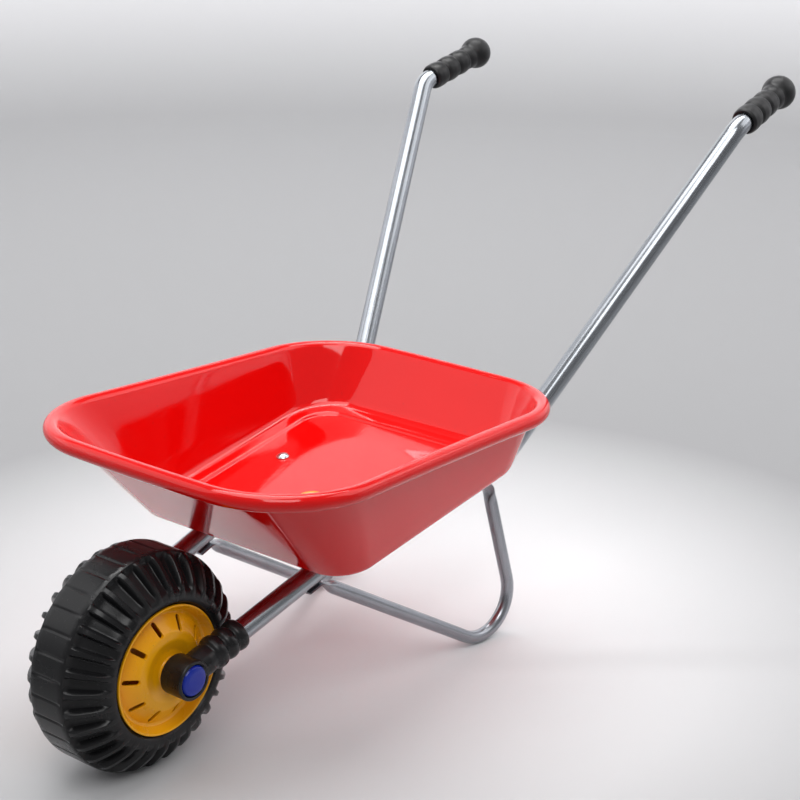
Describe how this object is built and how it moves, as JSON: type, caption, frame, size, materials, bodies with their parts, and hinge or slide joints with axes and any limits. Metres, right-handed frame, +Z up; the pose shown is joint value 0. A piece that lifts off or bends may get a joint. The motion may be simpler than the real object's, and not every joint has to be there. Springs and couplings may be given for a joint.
{
  "type": "wheelbarrow",
  "caption": "Child's wheelbarrow: pressed tray with a rolled rim on bent tubes, V-shaped legs, one lugged wheel and two ribbed ball-end grips.",
  "frame": {"origin": "on the ground under the middle of the object, between the wheel's front and the grips' ends", "axes": "+Z up, +Y from the wheel towards the grips, +X to the side with the left-named pieces"},
  "size_m": [0.3814, 0.7847, 0.475],
  "materials": {
    "tray_paint": "high-gloss red enamel on pressed sheet steel",
    "label": "plain printed vinyl disc",
    "fixings": "bright zinc plate",
    "tube_chrome": "bright chrome plate",
    "leg_chrome": "bright zinc-chrome plate",
    "grip_plastic": "satin moulded vinyl",
    "holder_plastic": "satin moulded plastic",
    "axle_steel": "drawn steel rod",
    "cap_plastic": "glossy moulded plastic",
    "sleeve_plastic": "natural moulded plastic",
    "rim_plastic": "semi-gloss moulded plastic",
    "tyre_plastic": "semi-gloss blow-moulded plastic"
  },
  "bodies": {
    "frame": {"tray": "tray_paint", "floor_label": "label", "tray_bolt_left": "fixings", "tray_bolt_right": "fixings", "tray_nut_left": "fixings", "tray_nut_right": "fixings", "frame_tube_left": "tube_chrome", "frame_tube_right": "tube_chrome", "leg_left": "leg_chrome", "leg_right": "leg_chrome", "leg_rivet_front_left": "fixings", "leg_rivet_front_right": "fixings", "leg_rivet_rear_left": "fixings", "leg_rivet_rear_right": "fixings", "grip_left": "grip_plastic", "grip_right": "grip_plastic", "axle_holder_left": "holder_plastic", "axle_holder_right": "holder_plastic", "axle": "axle_steel", "axle_cap_left": "cap_plastic", "axle_cap_right": "cap_plastic"},
    "wheel": {"tyre": "tyre_plastic", "wheel_rim_left": "rim_plastic", "wheel_rim_right": "rim_plastic", "hub_sleeve": "sleeve_plastic", "hub_washer_left": "fixings", "hub_washer_right": "fixings"}
  },
  "joints": [
    {"name": "wheel_spin", "type": "hinge", "parent": "frame", "child": "wheel", "pos_m": [0, -0.30266, 0.09], "axis": [1, 0, 0], "continuous": true}
  ]
}
